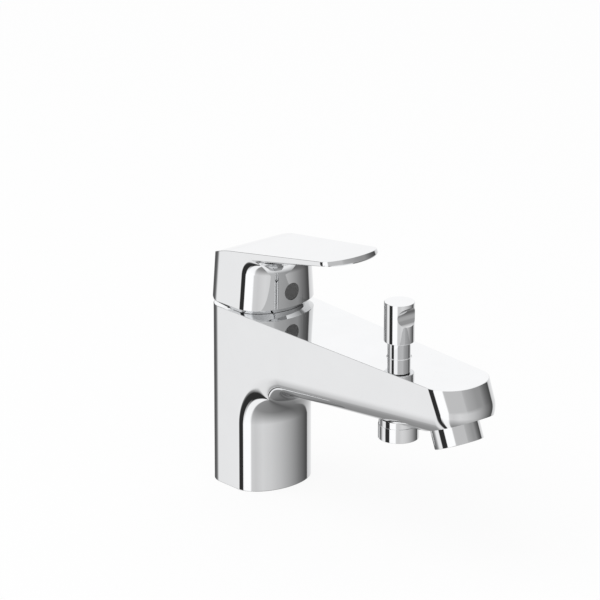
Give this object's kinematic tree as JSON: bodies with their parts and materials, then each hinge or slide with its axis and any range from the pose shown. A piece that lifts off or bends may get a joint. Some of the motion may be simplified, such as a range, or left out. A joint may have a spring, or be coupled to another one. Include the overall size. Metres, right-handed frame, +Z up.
{
  "type": "bath shower mixer",
  "caption": "Chrome deck-mounted bath mixer with a flat-topped spout, a single lever on a ceramic cartridge, a pull-up diverter, a shower outlet and a tilted aerator.",
  "frame": {"origin": "centre of the column's base face, on the deck", "axes": "+X along the spout away from the column, +Z up from the deck, +Y to the cold side"},
  "size_m": [0.1938, 0.0498, 0.1431],
  "materials": {
    "chrome": "polished chrome plate on cast metal",
    "steel": "plain stainless steel",
    "brass": "turned brass",
    "white_plastic": "moulded plastic",
    "ceramic": "lapped ceramic",
    "grey_plastic": "moulded plastic",
    "rubber": "black rubber"
  },
  "bodies": {
    "casting": {"body": "chrome", "base_gasket": "rubber", "cartridge_housing": "white_plastic", "cartridge_base": "white_plastic", "cartridge_seals": "rubber", "fixed_disc": "ceramic", "cartridge_nut": "brass", "shroud": "chrome", "diverter_bush": "chrome", "bush_seal": "rubber", "diverter_spring": "steel", "shower_nipple": "chrome", "nipple_seal": "rubber", "check_valve": "white_plastic", "check_spring": "steel", "aerator_sleeve": "chrome", "aerator_insert": "white_plastic", "aerator_mesh": "steel", "aerator_gasket": "rubber"},
    "rotor": {"cartridge_rotor": "white_plastic", "pivot_pin": "steel"},
    "lever": {"spindle": "steel", "handle": "chrome", "grub_screw": "steel", "indicator_plug": "grey_plastic"},
    "disc": {"moving_disc": "ceramic", "disc_driver": "white_plastic"},
    "diverter": {"diverter_knob": "chrome", "diverter_rod": "steel", "diverter_plug": "brass", "plug_seals": "rubber"},
    "poppet": {"check_poppet": "white_plastic"}
  },
  "joints": [
    {"name": "lever_swing", "type": "hinge", "parent": "casting", "child": "rotor", "pos_m": [0, 0, 0.1], "axis": [0, 0, 1], "range_deg": [-45, 45]},
    {"name": "lever_lift", "type": "hinge", "parent": "rotor", "child": "lever", "pos_m": [0, 0, 0.1], "axis": [0, -1, 0], "range_deg": [0, 18]},
    {"name": "disc_slide", "type": "slide", "parent": "rotor", "child": "disc", "axis": [1, 0, 0], "range_m": [0, 0.00553]},
    {"name": "diverter_pull", "type": "slide", "parent": "casting", "child": "diverter", "axis": [0, 0, 1], "range_m": [0, 0.007], "stiffness_N_per_m": 300, "springref_m": -0.008, "deforming": ["diverter_spring"]},
    {"name": "check_open", "type": "slide", "parent": "casting", "child": "poppet", "axis": [0, 0, -1], "range_m": [0, 0.0012], "stiffness_N_per_m": 120, "springref_m": -0.003, "deforming": ["check_spring"]}
  ],
  "couplings": [
    {"joint": "disc_slide", "follows": "lever_lift", "m_per_rad": 0.0176}
  ]
}
